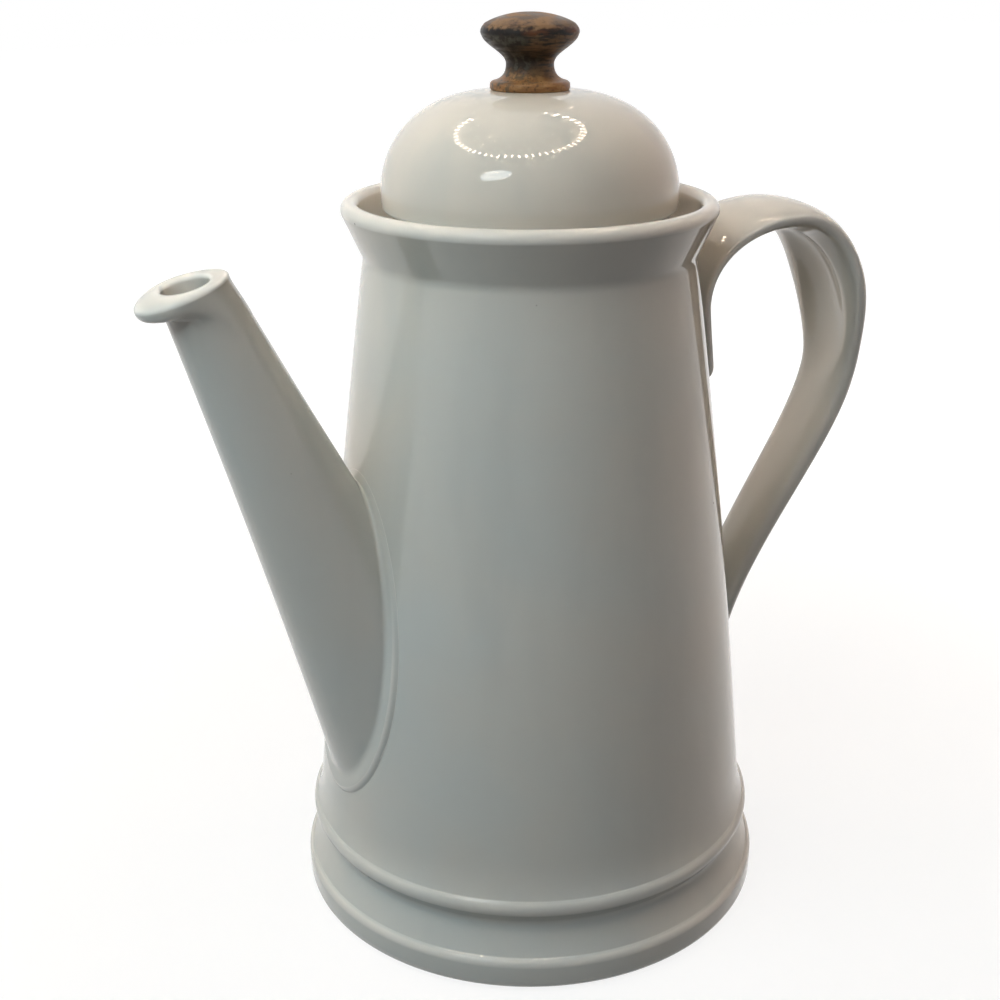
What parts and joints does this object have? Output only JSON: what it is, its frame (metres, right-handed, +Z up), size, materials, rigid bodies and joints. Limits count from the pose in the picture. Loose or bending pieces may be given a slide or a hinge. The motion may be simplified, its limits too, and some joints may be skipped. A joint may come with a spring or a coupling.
{
  "type": "stoneware coffee pot",
  "caption": "Tall tapered glazed coffee pot with a straight hollow spout, strap handle, moulded foot and a lift-off domed lid with a turned wooden knob.",
  "frame": {"origin": "on the turned axis of the pot, in the plane that the foot ring stands on", "axes": "+Z up along the turned axis, -X towards the spout, +X towards the handle, and Y across the pot; spout and handle both lie in the plane y = 0"},
  "size_m": [0.2287, 0.1432, 0.262],
  "materials": {
    "glaze": "glossy off-white glaze over stoneware, with a few iron specks and pinholes",
    "knob_wood": "turned, darkened and lightly oiled hardwood with fine grain",
    "washer_fibre": "matt red-brown pressed fibre",
    "screw_steel": "plain turned steel"
  },
  "bodies": {
    "pot": {"pot_body": "glaze", "spout": "glaze", "handle": "glaze"},
    "lid_assembly": {"lid": "glaze", "knob": "knob_wood", "knob_washer": "washer_fibre", "knob_screw": "screw_steel"}
  },
  "joints": [
    {"name": "lid_lift", "type": "slide", "parent": "pot", "child": "lid_assembly", "axis": [0, 0, 1], "range_m": [0, 0.06]}
  ]
}
